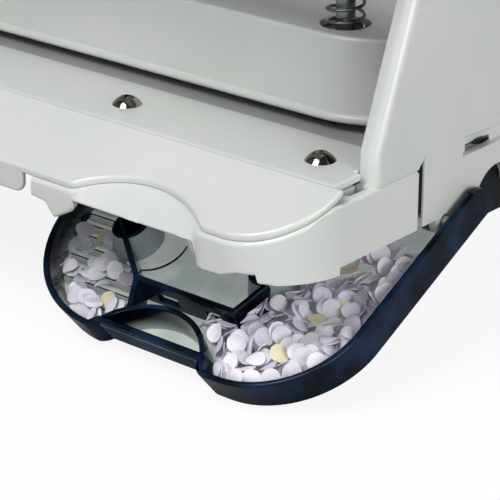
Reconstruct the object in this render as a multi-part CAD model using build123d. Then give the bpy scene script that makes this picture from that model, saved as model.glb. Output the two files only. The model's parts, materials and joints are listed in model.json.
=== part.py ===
"""Desk punch for four holes, with a hinged chip tray on the left and on the right.

X runs along the machine to its right, Y from the front to the back and Z up.
The pieces are drawn with Y = 0 on the row of table screws and Z = 0 on the level
that the closed machine stands on. They are moved once, at the end, so that the
origin is under the middle of the machine, on the lowest point of the right tray,
which is let down.
"""
from build123d import *
from math import atan2, cos, degrees, pi, radians, sin, sqrt, tan
import os

os.makedirs("parts", exist_ok=True)

# Clearances between pieces
fit_gap = 0.3            # between neighbours that do not touch
shaft_gap = 0.05         # round a shaft or a pin that turns
slide_gap = 0.06         # round a punch that slides

# Holes in the paper
hole_spacing = 80.0
hole_count = 4
punch_r = 2.75
hole_from_edge = 12.0    # centre of a hole to the edge of the sheet
punch_y = 32.0
hole_x = [hole_spacing * (i - (hole_count - 1) / 2) for i in range(hole_count)]

# Width of the machine
inner_half = 150.0       # room for the long side of a sheet, 297 mm
cheek_thick = 5.6
frame_thick = 2.5
outer_half = inner_half + cheek_thick
room_half = inner_half - fit_gap    # half length of what reaches from frame to frame
unit_from_side = 53.6    # middle of a base unit, in from the machine's side
unit_half = 39.0
unit_centre = outer_half - unit_from_side
unit_inner_x = unit_centre - unit_half

# Table
table_z = 30.5
table_thick = 2.0
table_back_y = 15.0
bend_y = -12.0
front_y = -35.4
apron_drop = 11.2
bend_r = 5.0
lip_inset = 0.6          # the sheet stops this far inside the skirt below it
side_strip = 3.6         # and this far inside it behind the bend
flange_bottom_z = 11.4
flange_gap = 4.2         # from the plain flange in the middle to a base unit
flange_corner_r = 3.0

# Base units, which stand under the table on the left and the right
unit_wall = 2.5
skirt_bottom_z = 9.1
seam_z = 26.3
corner_r = 23.0
arch_half = 23.1         # finger arch in the front edge
arch_depth = 8.0
arch_end_r = 5.0
skirt_back_y = 19.4
unit_back_y = 42.0
boss_r = 5.0
boss_bottom_z = 13.0
inner_side_z = 11.6      # lower edge of the unit's inner side, over the cup in the tray
rear_edge_z = 17.5       # lower edge of the unit's rear wall, over the tray
wave_back_y = -14.0      # the waved lower edge is cut from the front as far back as this
wave_line = [            # that edge, from the unit's middle, and its heights
    (-45.0, 12.4), (-38.2, 12.0), (-34.0, 11.4), (-30.6, 7.4), (-24.6, 10.6), (-22.4, 13.4), (0.0, 14.6),
    (16.8, 13.2), (17.4, 9.6), (21.4, 7.0), (30.0, 7.2), (35.5, 9.0), (40.6, 9.2), (41.2, 6.9), (60.0, 6.9),
]
ledge_front_y = -20.0    # ledge that closes the side of the unit under the cheek
ledge_thick = 2.2

# Screws
screw_spacing = 70.6
screw_shank_r = 2.0
screw_head_r = 4.3
screw_head_h = 1.9
screw_length = 14.0

# Chip trays
tray_inner_reach = 21.2  # the tray reaches inwards past its base unit
tray_side_proud = 4.0    # and stands out this far from the machine's side
tray_inner_x = unit_inner_x - tray_inner_reach
tray_outer_x = outer_half + tray_side_proud
tray_wall = 2.0
tray_floor = 1.6
tray_rim_z = 10.8
tray_grip_y = -37.7
tray_lobe_y = -42.4      # front of the outer lobe
tray_inner_lobe_y = -40.2
tray_outer_corner_r = 29.5
tray_inner_corner_r = 40.0
tray_back_y = 42.0
tray_arm_y = 49.0
tray_arm_r = 8.0
tray_taper = 2.6         # the front wall leans in by this much towards the floor
tray_low_z = 3.5         # rear wall where it passes under the cheek
grip_half = 19.0
grip_pocket_depth = 11.0
grip_rib_count = 4
grip_rib_pitch = 2.1
grip_rib_proud = 0.55
partition_y = -19.2
partition_left = -19.2
partition_right = 17.3
window_u = ((-12.4, -4.1), (6.0, 11.6))    # two windows in the partition, and their heights
window_z = (3.0, 6.8)
inner_wall = 1.8
inner_wall_z = 10.2
cup_y = -3.0
cup_u = (-35.0, 17.3)    # the two cups, measured from the middle of the tray
cup_top_r = 5.6
cup_foot_r = 8.4
well_r = 10.5
cup_dish_depth = 2.5
cup_foot_wall = 2.2      # foot of a cup's dish, in from its rim
floor_rib_pitch = 3.9
floor_rib_width = 1.6
floor_rib_height = 0.8
floor_rib_y = (-22.0, 24.0)
floor_rib_end = -42.5    # their inner ends, from the middle of the tray, and the slant of that line
floor_rib_slant = 1.15
nub_r = 1.3              # nub of the catch on the tray's inner side wall
nub_at = (-1.6, 3.1)
hinge_blind = 0.6        # the pin's hole ends this far inside the tray's outer face
hinge_y = 32.3
hinge_z = 7.6
hinge_pin_r = 2.0
hinge_lug_r = 3.7
tray_open = 27.0         # degrees
pad_r = 5.0
pad_proud = 0.8          # the rubber feet stand out this far below the machine
pad_sink = 0.6
pad_at = [(-26.0, -30.0), (30.0, -30.0)]

# Cheeks and lever shaft
cheek_front_y = 0.2
cheek_knee = 5.2         # above the table, where the front edge starts to lean
cheek_lean = 20.5        # degrees from upright
cheek_foot = 6.3         # below the table, the lug's lower end
cheek_round = 3.2
toe_width = 2.7          # lug at the cheek's front foot, let into the base unit
toe_length = 2.2
cheek_rim = 2.4
cheek_back_y = 86.0
cheek_shoulder = 16.0    # above the table, the lowest point of the sloping back
slot_width = 2.8
foot_arch_y = 57.0       # arch in the lower edge of the cheek, over the rear foot
foot_arch_z = 7.7
foot_arch_r = 10.0
recess_y = 40.0          # finger recess in the side of the cheek
recess_length = 35.0
recess_depth = 2.2
recess_low_z = 24.6
recess_height = 5.3
recess_fall = 1.8        # the recess is lower by this much at its rear end
shaft_rise = 54.0        # above the table
shaft_r = 5.0
frame_screw_r = 1.5
frame_screw_head_r = 3.2
frame_screw_head_h = 1.8
frame_screw_at = [(12.0, 38.5), (72.0, 60.0), (76.0, 34.0)]

# Die bed, head and punches
bed_drop = 0.6
bed_thick = 3.5
bed_back_y = 58.0
die_r = 6.0
die_depth = 5.0
chute_mouth_z = 15.6     # over the tray's rear wall as it swings
chute_wall = 1.2
throat = 2.4             # height of the gap that takes the paper
head_front_y = 19.3
head_back_y = 60.0
head_height = 22.5
head_wall = 1.8
head_corner_r = 28.0
bead_r = 1.4
bead_sides = 16
head_round = 1.2
bridge_depth = 13.0
bridge_height = 17.0
tongue_y = (42.5, 50.0)  # where the bridge reaches through the cover to the frame plates
tongue_height = 11.0
spring_hole_r = 7.2
guide_r = 6.0            # bosses that guide the punches below the bridge
punch_lift = 1.0         # the punches rest this far up inside the head
punch_head_r = 4.15
punch_head_h = 3.0
punch_notch = 1.8
beam_height = 12.0
beam_depth = 13.0
beam_wall = 2.0
beam_short = 12.0        # the beam ends this far inside a frame plate
washer_r = 6.4
washer_thick = 1.5
spring_wire_r = 0.5
spring_wire_sides = 5
spring_mean_r = 5.2
spring_turns = 4

# Lever
press_arm = 18.5         # shaft to press bar
press_bar_r = 4.0
lever_angle = 27.0       # degrees that the lever travels
arm_thick = 3.0
arm_gap = 2.4            # arm to frame plate
arm_hub_r = 12.0
arm_waist = 34.0         # from the shaft to the arm's lowest point
arm_waist_drop = 8.0
arm_neck = 20.0          # from the hood's end back to where the arm turns up to the handle
arm_neck_rise = 5.0
arm_eye_r = 7.0          # eye at the arm's end that holds the handle core
bush_wall = 1.5
bush_collar = 2.5        # the collar stands out this far from the bush
ring_wall = 3.5
hood_r = 22.0
hood_thick = 2.0
hood_gap = 0.8           # hood to frame plate
hood_rise = 25.0         # degrees above level, at rest
hood_back = 20.0         # degrees below level, the hood's rear edge
handle_core_r = 5.0
handle_r = 9.0
handle_reach = 106.0
handle_gap = 2.0         # handle to hood
handle_offset = 13.0

# Side-stop rail
rail_y = (44.0, 55.0)
rail_low_z = 24.8
rail_thick = 1.5
rail_proud = 1.0         # the rail's end stands out this far past the frame plate
pull_half = 1.7          # half the height of the pull in its middle
rail_length = 165.0
rail_travel = 90.0
rail_mark_pitch = 10.0
rail_mark_width = 0.8
rail_mark_depth = 0.3
rail_guide_width = 8.0
rail_guide_wall = 1.5
rail_guide_x = (20.0, inner_half - 15.0)

# Rear
cover_thick = 1.6
cover_top_z = 54.0
foot_height = 18.0
foot_width = 31.7
foot_back_y = 80.0
member_thick = 4.0
member_back_gap = 3.4


def box(x0, x1, y0, y1, z0, z1):
    """A block between two corners."""
    return Pos(x0, y0, z0) * Box(x1 - x0, y1 - y0, z1 - z0, align=(Align.MIN, Align.MIN, Align.MIN))


def rod_x(r, x0, x1, y, z):
    """A round bar along X."""
    return Pos((x0 + x1) / 2, y, z) * Rot(0, 90, 0) * Cylinder(r, x1 - x0)


def rod_z(r, x, y, z0, z1):
    """A round bar along Z."""
    return Pos(x, y, (z0 + z1) / 2) * Cylinder(r, z1 - z0)


def along_x(face_yz, x0, x1):
    """Push a face on the YZ plane out between two X values."""
    return Pos(x0, 0, 0) * extrude(face_yz, amount=x1 - x0, dir=(1, 0, 0))


def side_face(*edges):
    """A face from edges whose points are (y, z)."""
    return make_face([Plane.YZ * e for e in edges])


def side_poly(points):
    """A face from (y, z) corners."""
    return make_face(Plane.YZ * Polyline(*points, close=True))


def left_of(part):
    """The mirror image of a right-hand piece."""
    return mirror(part, about=Plane.YZ)


def polar(centre, r, angle):
    """A point on a circle, by its angle in degrees."""
    return (centre[0] + r * cos(radians(angle)), centre[1] + r * sin(radians(angle)))


# Heights and places that follow from the sizes above
apron_slope = atan2(apron_drop, bend_y - front_y)
bed_top_z = table_z - bed_drop
bed_low_z = bed_top_z - bed_thick
head_low_z = table_z + throat
head_half = room_half - bead_r
head_top_z = head_low_z + head_height
flange_half = unit_inner_x - flange_gap
beam_half = inner_half - beam_short
hood_reach = handle_reach - handle_r - handle_gap
cheek_knee_z = table_z + cheek_knee
cheek_foot_z = table_z - cheek_foot
cheek_shoulder_z = table_z + cheek_shoulder
shaft_z = table_z + shaft_rise
half_swing = lever_angle / 2
shaft_y = punch_y + press_arm * cos(radians(half_swing))
knee_offset = tan(radians(cheek_lean)) * (shaft_z - cheek_knee_z)
cheek_top_r = (shaft_y - cheek_front_y - knee_offset) * cos(radians(cheek_lean))
press_y, press_z = polar((shaft_y, shaft_z), press_arm, 180 - half_swing)
beam_top_z = press_z - press_bar_r - fit_gap
beam_low_z = beam_top_z - beam_height
screw_x = [sx * unit_centre + s * screw_spacing / 2 for sx in (-1, 1) for s in (-1, 1)]
arm_outer_x = inner_half - arm_gap
arm_inner_x = arm_outer_x - arm_thick


def apron_z(y, drop=0.0):
    """Height of the table's upper side, less a drop that is square to the sheet."""
    if y >= bend_y:
        return table_z - drop
    return table_z - (bend_y - y) * tan(apron_slope) - drop / cos(apron_slope)


def front_plan(inset, inner_x, back_points):
    """Right half of a plan: front line, finger arch and front corner, then the back."""
    y = front_y + inset
    x_out = outer_half - inset
    r = corner_r - inset
    half = arch_half + inset / 2
    arch = ThreePointArc((unit_centre - half, y), (unit_centre, y + arch_depth), (unit_centre + half, y))
    corner = ThreePointArc((x_out - r, y), polar((x_out - r, y + r), r, -45), (x_out, y + r))
    return make_face([
        Line((inner_x, y), (unit_centre - half, y)), arch,
        Line((unit_centre + half, y), (x_out - r, y)), corner,
        Polyline((x_out, y + r), *back_points, (inner_x, y)),
    ])


def round_arch_ends(solid, inset):
    """Round the upright edges where the finger arch meets the front."""
    y = front_y + inset
    near = [e for e in solid.edges().filter_by(Axis.Z)
            if abs(e.center().Y - y) < 0.5 and abs(abs(e.center().X - unit_centre) - arch_half) < 1.0]
    return fillet(near, arch_end_r)


def make_table():
    """Sheet-steel table: flat strip, sloping apron and a plain flange in the middle."""
    outer = [(table_back_y, table_z), (bend_y, table_z), (front_y, apron_z(front_y)),
             (front_y, apron_z(front_y, table_thick)), (bend_y, table_z - table_thick - 0.25),
             (table_back_y, table_z - table_thick)]
    sheet = along_x(side_poly(outer), -outer_half, outer_half)
    ridge = [e for e in sheet.edges().filter_by(Axis.X)
             if abs(e.center().Y - bend_y) < 0.01 and e.center().Z > table_z - 0.1]
    sheet = fillet(ridge, bend_r)
    side_x = outer_half - side_strip
    back_y = cheek_front_y - 1.2
    right = front_plan(lip_inset, 0, [(side_x, front_y + corner_r), (side_x, back_y), (room_half, back_y),
                                      (room_half, table_back_y), (0, table_back_y)])
    plan = round_arch_ends(extrude(right, amount=2 * table_z), lip_inset)
    sheet = sheet & (plan + left_of(plan))
    flange_y = front_y + lip_inset
    flange = box(-flange_half, flange_half, flange_y, flange_y + table_thick,
                 flange_bottom_z, apron_z(flange_y, table_thick) + 0.6)
    corners = [e for e in flange.edges().filter_by(Axis.Y) if e.center().Z < flange_bottom_z + 0.1]
    sheet += fillet(corners, flange_corner_r)
    for x in screw_x:
        sheet -= rod_z(screw_shank_r + fit_gap, x, 0, table_z - 5, table_z + 1)
    return sheet


def waved_edge():
    """What is taken from the front wall of the right unit below its waved lower edge."""
    line = [(unit_centre + u, z) for u, z in wave_line]
    points = [(line[0][0], 0), *line, (line[-1][0], 0)]
    return extrude(make_face(Plane.XZ * Polyline(*points, close=True)), amount=outer_half, both=True)


def make_unit():
    """Right base unit: a skirt that carries the front of the table, with its screw bosses."""
    low = skirt_bottom_z - 3
    back = [(outer_half, skirt_back_y), (room_half, skirt_back_y), (room_half, unit_back_y),
            (unit_inner_x, unit_back_y)]
    plan = front_plan(0.0, unit_inner_x, back)
    solid = round_arch_ends(extrude(Pos(0, 0, low) * plan, amount=seam_z - low), 0.0)
    hollow = extrude(Pos(0, 0, low - 1) * offset(plan, amount=-unit_wall), amount=seam_z)
    shell = solid - hollow
    ledge = box(inner_half - 1, outer_half, ledge_front_y, skirt_back_y, seam_z - ledge_thick, seam_z) & solid
    toe_back = cheek_front_y + toe_length + fit_gap
    notch = box(inner_half - 0.5, inner_half + toe_width + fit_gap, -7.0, toe_back, seam_z - 4, seam_z + 1)
    shell += ledge - notch
    under_table = table_z - table_thick - 0.25
    for s in (-1, 1):
        x = unit_centre + s * screw_spacing / 2
        shell += rod_z(boss_r, x, 0, boss_bottom_z, under_table)
        shell += box(x - 1, x + 1, front_y + 1, 0, boss_bottom_z, under_table)
        shell -= rod_z(screw_shank_r + shaft_gap, x, 0, boss_bottom_z + 2, under_table + 1)
    gap_y = table_back_y - fit_gap
    above = [(60, 60), (60, bed_low_z), (gap_y, bed_low_z), (gap_y, under_table), (bend_y, under_table),
             (front_y - 2, apron_z(front_y - 2, table_thick)), (front_y - 2, 60)]
    shell -= along_x(side_poly(above), unit_inner_x - 5, outer_half + 5)
    shell -= waved_edge() & box(0, outer_half + 5, front_y - 5, wave_back_y, 0, seam_z)
    shell -= box(unit_inner_x - 2, outer_half + 2, wave_back_y, unit_back_y + 2, 0, skirt_bottom_z)
    shell -= box(unit_inner_x - 2, unit_inner_x + 2 * unit_wall, front_y + unit_wall + 1, unit_back_y + 2,
                 0, inner_side_z)
    rise_y = hinge_y + 3.0
    shell -= box(unit_inner_x - 2, outer_half, rise_y, unit_back_y + 2, 0, rear_edge_z)
    lug = rod_x(hinge_lug_r, unit_inner_x, unit_inner_x + unit_wall, hinge_y, hinge_z)
    lug += box(unit_inner_x, unit_inner_x + unit_wall, hinge_y - hinge_lug_r, rise_y,
               hinge_z, skirt_bottom_z + 3)
    shell += lug
    shell -= rod_x(hinge_pin_r + shaft_gap, unit_inner_x - 1, unit_inner_x + unit_wall + 1, hinge_y, hinge_z)
    return shell


def cheek_profile(inset):
    """Side view of a cheek; the inset one is the frame plate's or its pocket's."""
    lean = radians(cheek_lean)
    front = cheek_front_y + inset
    r = cheek_top_r - inset
    touch = (shaft_y - r * cos(lean), shaft_z + r * sin(lean))
    crown = polar((shaft_y, shaft_z), r, 70)
    rear_touch = (shaft_y + r, shaft_z)
    slot_y = skirt_back_y + slot_width + inset
    low = skirt_bottom_z + inset
    back = cheek_back_y - inset
    arch_r = foot_arch_r + inset
    arch_dy = sqrt(arch_r ** 2 - (low - foot_arch_z) ** 2)
    seam = seam_z + inset
    return side_face(
        Line((front, seam), (front, cheek_knee_z)),
        Line((front, cheek_knee_z), touch),
        ThreePointArc(touch, crown, rear_touch),
        Polyline(rear_touch, (back, cheek_shoulder_z), (back, low), (foot_arch_y + arch_dy, low)),
        ThreePointArc((foot_arch_y + arch_dy, low), (foot_arch_y, foot_arch_z + arch_r),
                      (foot_arch_y - arch_dy, low)),
        Polyline((foot_arch_y - arch_dy, low), (slot_y, low), (slot_y, seam + slot_width),
                 (slot_y - slot_width, seam), (front, seam)),
    )


def make_cheek():
    """Right cheek: a pressed cover with a rounded rim round the frame plate."""
    solid = along_x(cheek_profile(0.0), inner_half, outer_half)
    rim = [e for e in solid.edges()
           if abs(e.center().X - outer_half) < 0.01 and e.center().Z > cheek_knee_z - 8
           and e.center().Y < cheek_back_y - 1]
    solid = fillet(rim, cheek_round)
    solid -= along_x(cheek_profile(cheek_rim), inner_half - 1, inner_half + frame_thick + fit_gap)
    reach = hinge_lug_r + fit_gap
    solid -= box(inner_half - 1, inner_half + frame_thick + fit_gap, hinge_y - reach, hinge_y + reach,
                 0, skirt_bottom_z + 2 * cheek_rim)
    solid += rod_x(hinge_lug_r, inner_half + frame_thick + fit_gap, outer_half, hinge_y, hinge_z)
    toe = box(inner_half, inner_half + toe_width, cheek_front_y - 0.9, cheek_front_y + toe_length,
              cheek_foot_z, seam_z + 1.0)
    solid += toe
    low, high = recess_low_z, recess_low_z + recess_height
    recess = [(recess_y, low), (recess_y, high), (recess_y + recess_length, high - recess_fall),
              (recess_y + recess_length, low)]
    solid -= along_x(side_poly(recess), outer_half - recess_depth, outer_half + 1)
    solid -= rod_x(hinge_pin_r + shaft_gap, inner_half - 1, outer_half + 1, hinge_y, hinge_z)
    solid -= rail_slot()
    for y, z in frame_screw_at:
        solid -= rod_x(frame_screw_r + fit_gap, inner_half - 1, outer_half - 1.2, y, z)
    return solid


def rail_slot():
    """What is taken from the right side for the side-stop rail."""
    return box(inner_half - 1, outer_half + 1, rail_y[0] - fit_gap, rail_y[1] + fit_gap,
               rail_low_z - fit_gap, rail_low_z + rail_thick + fit_gap)


def make_frame():
    """Right frame plate: steel, carries the shaft, the head and the rear pieces."""
    plate = along_x(cheek_profile(cheek_rim + fit_gap), inner_half, inner_half + frame_thick)
    plate += rod_x(hinge_lug_r, inner_half, inner_half + frame_thick, hinge_y, hinge_z)
    plate += box(inner_half, inner_half + frame_thick, hinge_y - hinge_lug_r, hinge_y + hinge_lug_r,
                 hinge_z, skirt_bottom_z + cheek_rim + 2)
    plate -= rod_x(shaft_r + shaft_gap, inner_half - 1, outer_half, shaft_y, shaft_z)
    plate -= rod_x(hinge_pin_r + shaft_gap, inner_half - 1, outer_half, hinge_y, hinge_z)
    plate -= rail_slot()
    for y, z in frame_screw_at:
        plate -= rod_x(frame_screw_r + fit_gap, inner_half - 1, outer_half, y, z)
    return plate


def dome_screw(x, y, z, length):
    """A round-headed machine screw standing on a flat seat."""
    ball_r = (screw_head_r ** 2 + screw_head_h ** 2) / (2 * screw_head_h)
    cap = Pos(x, y, z + screw_head_h - ball_r) * Sphere(ball_r) & box(x - 9, x + 9, y - 9, y + 9, z, z + 9)
    return cap + rod_z(screw_shank_r, x, y, z - length, z + 0.5)


def frame_screw(side, y, z):
    """A pan-headed screw from the inside through a frame plate into its cheek."""
    head = rod_x(frame_screw_head_r, inner_half - frame_screw_head_h, inner_half, y, z)
    shank = rod_x(frame_screw_r, inner_half - 0.5, outer_half - 1.4, y, z)
    screw = head + shank
    return screw if side > 0 else left_of(screw)


def tray_plan(side_inset, front_inset):
    """Plan of the right tray between its side walls, with two lobes and the grip."""
    left, right = tray_inner_x + side_inset, tray_outer_x - side_inset
    lobe, grip = tray_lobe_y + front_inset, tray_grip_y + front_inset
    inner_lobe = tray_inner_lobe_y + front_inset
    back = tray_back_y - side_inset
    ro, ri = tray_outer_corner_r - side_inset, tray_inner_corner_r - side_inset
    co, ci = (right - ro, lobe + ro), (left + ri, inner_lobe + ri)
    lobe_half = grip_half + 2.0
    start_u = unit_centre - lobe_half - side_inset * 0.4
    start = (start_u, ci[1] - sqrt(ri ** 2 - (start_u - ci[0]) ** 2))
    grip_x = grip_half + side_inset * 0.4
    lobe_x = unit_centre + lobe_half + side_inset * 0.4
    return make_face([
        Line((right, back), (right, co[1])),
        ThreePointArc((right, co[1]), polar(co, ro, -45), (co[0], lobe)),
        Polyline((co[0], lobe), (lobe_x, lobe), (unit_centre + grip_x, grip),
                 (unit_centre - grip_x, grip), start),
        ThreePointArc(start, polar(ci, ri, 225), (left, ci[1])),
        Polyline((left, ci[1]), (left, back), (right, back)),
    ])


def wall_between(p, q, z0, z1, thick):
    """An upright wall from p to q, which are (u, y) from the middle of the tray."""
    length = sqrt((q[0] - p[0]) ** 2 + (q[1] - p[1]) ** 2)
    turn = atan2(q[1] - p[1], q[0] - p[0])
    mid = ((p[0] + q[0]) / 2 + unit_centre, (p[1] + q[1]) / 2, (z0 + z1) / 2)
    return Pos(*mid) * Rot(0, 0, degrees(turn)) * Box(length + thick * 0.8, thick, z1 - z0)


def tray_shell():
    """The tray's floor and outer walls, and the block that fills it to the rim."""
    outer = loft([tray_plan(0, tray_taper), Pos(0, 0, tray_rim_z) * tray_plan(0, 0)], ruled=True)
    inner_low = Pos(0, 0, tray_floor) * tray_plan(tray_wall, tray_wall + tray_taper * 0.85)
    inner_high = Pos(0, 0, tray_rim_z + 0.01) * tray_plan(tray_wall, tray_wall)
    shell = outer - loft([inner_low, inner_high], ruled=True)
    shell -= box(inner_half - 3, tray_outer_x - tray_wall, tray_back_y - tray_wall - 0.01, tray_back_y + 1,
                 tray_low_z, tray_rim_z + 1)
    root_y = tray_back_y - 4
    arm = side_poly([(root_y, 0), (tray_arm_y, 0), (tray_arm_y, tray_rim_z), (root_y, tray_rim_z)])
    for x in (tray_inner_x, tray_outer_x - tray_wall):
        block = along_x(arm, x, x + tray_wall)
        ends = [e for e in block.edges().filter_by(Axis.X)
                if e.center().Y > tray_arm_y - 1 and e.center().Z > 1]
        shell += fillet(ends, tray_arm_r)
    return shell, outer


def grip_pocket(outer, low_z):
    """The curved wall behind the grip, which keeps the chips off the fingers."""
    pocket_r = (grip_half ** 2 + grip_pocket_depth ** 2) / (2 * grip_pocket_depth)
    pocket_y = tray_grip_y + grip_pocket_depth - pocket_r
    ring = rod_z(pocket_r + inner_wall, unit_centre, pocket_y, low_z, inner_wall_z)
    ring -= rod_z(pocket_r, unit_centre, pocket_y, low_z - 1, inner_wall_z + 1)
    front = box(tray_inner_x, tray_outer_x, tray_grip_y + 1.2, 0, 0, 2 * tray_rim_z)
    return ring & front & outer


def tray_partition(low_z):
    """The walls that part the chips: one along the front with two windows, and three short ones."""
    start, end = (partition_left, partition_y), (partition_right, partition_y)
    wall = wall_between(start, end, low_z, inner_wall_z, inner_wall)
    for u0, u1 in window_u:
        wall -= box(unit_centre + u0, unit_centre + u1, partition_y - 3, partition_y + 3, *window_z)
    to_left_cup = (cup_u[0] - cup_top_r + 1.0, cup_y + 0.5)
    to_right_cup = (cup_u[1] + 3.0, cup_y - cup_top_r + 0.5)
    to_pocket = (-13.2, tray_grip_y + grip_pocket_depth - 3.4)
    for p, q in ((start, to_left_cup), (end, to_right_cup), (start, to_pocket)):
        wall += wall_between(p, q, low_z, inner_wall_z, inner_wall)
    return wall


def tray_cup(u, low_z):
    """A cup on the tray's floor: a cone with a dished top."""
    cone = Pos(unit_centre + u, cup_y, (low_z + inner_wall_z) / 2) * Cone(cup_foot_r, cup_top_r,
                                                                         inner_wall_z - low_z)
    dish = Pos(unit_centre + u, cup_y, inner_wall_z - cup_dish_depth) * Cone(
        cup_top_r - cup_foot_wall, cup_top_r - 1.2, 2 * cup_dish_depth + 0.02)
    return cone - dish


def floor_ribs(outer, low_z):
    """The short ribs on the floor at the tray's inner end."""
    ribs = []
    y = floor_rib_y[0]
    while y < floor_rib_y[1]:
        x_end = unit_centre + floor_rib_end + max(0, cup_y - y) * floor_rib_slant
        rib = box(tray_inner_x + tray_wall - 0.5, x_end, y, y + floor_rib_width,
                  low_z, tray_floor + floor_rib_height)
        ribs.append(rib & outer)
        y += floor_rib_pitch
    return ribs


def grip_ribs():
    """The ribs along the front of the grip, for the fingers."""
    ribs = []
    for i in range(grip_rib_count):
        z = grip_rib_pitch * (i + 1)
        y = tray_grip_y + (tray_rim_z - z) * tray_taper / tray_rim_z
        ribs.append(box(unit_centre - grip_half + 0.5, unit_centre + grip_half - 0.5,
                        y - grip_rib_proud, y + grip_rib_proud, z - grip_rib_proud, z + grip_rib_proud))
    return ribs


def make_tray():
    """Right chip tray, shut: a moulded shell with its grip, partition, cups and ribs."""
    tray, outer = tray_shell()
    low_z = tray_floor - 0.2
    tray += grip_pocket(outer, low_z)
    tray += tray_partition(low_z)
    for u in cup_u:
        tray += tray_cup(u, low_z)
    tray += rod_z(well_r, unit_centre + cup_u[0] + 5.5, cup_y + 1.5, low_z, tray_floor + floor_rib_height)
    for rib in floor_ribs(outer, low_z) + grip_ribs():
        tray += rib
    inside = tray_inner_x + tray_wall
    tray += rod_x(nub_r, inside - 0.5, inside + 0.9, *nub_at)
    bore = hinge_pin_r + shaft_gap
    tray -= rod_x(bore, tray_inner_x + hinge_blind, inside + 1, hinge_y, hinge_z)
    tray -= rod_x(bore, tray_outer_x - tray_wall - 1, tray_outer_x - hinge_blind, hinge_y, hinge_z)
    for u, y in pad_at:
        tray -= rod_z(pad_r + shaft_gap, unit_centre + u, y, -1, pad_sink)
    return tray


def make_pads():
    """Rubber feet let into the underside of the right tray."""
    return [rod_z(pad_r, unit_centre + u, y, -pad_proud, pad_sink) for u, y in pad_at]


def swing(part):
    """Let a shut right tray down about its hinge."""
    return part.rotate(Axis((0, hinge_y, hinge_z), (1, 0, 0)), tray_open)


def make_hinge_pins():
    """The two pins that the right tray hangs on."""
    end_gap = hinge_blind + 0.1
    outer = rod_x(hinge_pin_r, inner_half, tray_outer_x - end_gap, hinge_y, hinge_z)
    inner = rod_x(hinge_pin_r, tray_inner_x + end_gap, unit_inner_x + unit_wall, hinge_y, hinge_z)
    return [outer, inner]


def make_bed():
    """Steel die bed behind the table, bored for the dies."""
    bed = box(-room_half, room_half, table_back_y, bed_back_y, bed_low_z, bed_top_z)
    for x in hole_x:
        bed -= rod_z(die_r, x, punch_y, bed_low_z - 1, bed_top_z + 1)
    return bed


def make_die(x):
    """A hardened die ring, flush with the bed."""
    ring = rod_z(die_r, x, punch_y, bed_top_z - die_depth, bed_top_z)
    return ring - rod_z(punch_r + slide_gap, x, punch_y, bed_top_z - die_depth - 1, bed_top_z + 1)


def make_chute():
    """Plastic chute that leads the right inner hole's chips out into the right tray."""
    top = bed_low_z - (die_depth - bed_thick) - fit_gap
    x_in, x_out = hole_x[2], unit_inner_x - 3.0
    mouth = chute_mouth_z
    outer = [(x_in - 7, bed_low_z), (x_in - 7, top - 5), (x_out - 8, mouth), (x_out, mouth),
             (x_out, mouth + 3.4), (x_in + 8, bed_low_z)]
    inner = [(x_in - 6.2, bed_low_z + 1), (x_in - 5.6, top - 4.6), (x_out - 6.6, mouth - 1),
             (x_out - 1.4, mouth - 1), (x_out - 1.4, mouth + 2.8), (x_in + 6.8, bed_low_z - 0.2),
             (x_in + 6.8, bed_low_z + 1)]
    half = die_r + 1.6
    shell_face = make_face(Plane.XZ * Polyline(*outer, close=True))
    hole_face = make_face(Plane.XZ * Polyline(*inner, close=True))
    shell = Pos(0, punch_y + half, 0) * extrude(shell_face, amount=2 * half)
    return shell - Pos(0, punch_y + half - chute_wall, 0) * extrude(hole_face, amount=2 * (half - chute_wall))


def make_back_stop():
    """Strip on the die bed that the edge of the paper meets."""
    y = punch_y + hole_from_edge
    return box(-room_half + 6, room_half - 6, y, y + 3, bed_top_z, head_low_z + 4)


def head_plan(inset, back_y):
    """Plan of the head, with its two large round front corners."""
    x, y, r = head_half - inset, head_front_y + bead_r + inset, head_corner_r - inset
    return make_face([
        Line((-x + r, y), (x - r, y)), ThreePointArc((x - r, y), polar((x - r, y + r), r, -45), (x, y + r)),
        Polyline((x, y + r), (x, back_y), (-x, back_y), (-x, y + r)),
        ThreePointArc((-x, y + r), polar((-x + r, y + r), r, 225), (-x + r, y)),
    ])


def make_bridge():
    """Guide bar that the punches slide in, with a tongue to each frame plate."""
    y0, y1 = punch_y - bridge_depth / 2, punch_y + bridge_depth / 2
    z0, tongue_z = head_top_z - bridge_height, head_top_z - tongue_height
    bar = box(-room_half, room_half, y0, y1, z0, head_top_z)
    bar += box(-room_half, room_half, y1, tongue_y[1], tongue_z, head_top_z)
    for x in hole_x:
        bar += rod_z(guide_r, x, punch_y, head_low_z + fit_gap, z0 + 1)
    bar = bar & extrude(head_plan(head_wall + fit_gap, head_back_y), amount=2 * head_top_z)
    bar += box(-room_half, room_half, tongue_y[0], tongue_y[1], tongue_z, head_top_z)
    for x in hole_x:
        bar -= rod_z(punch_r + slide_gap, x, punch_y, head_low_z - 1, head_top_z + 1)
    return bar


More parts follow.
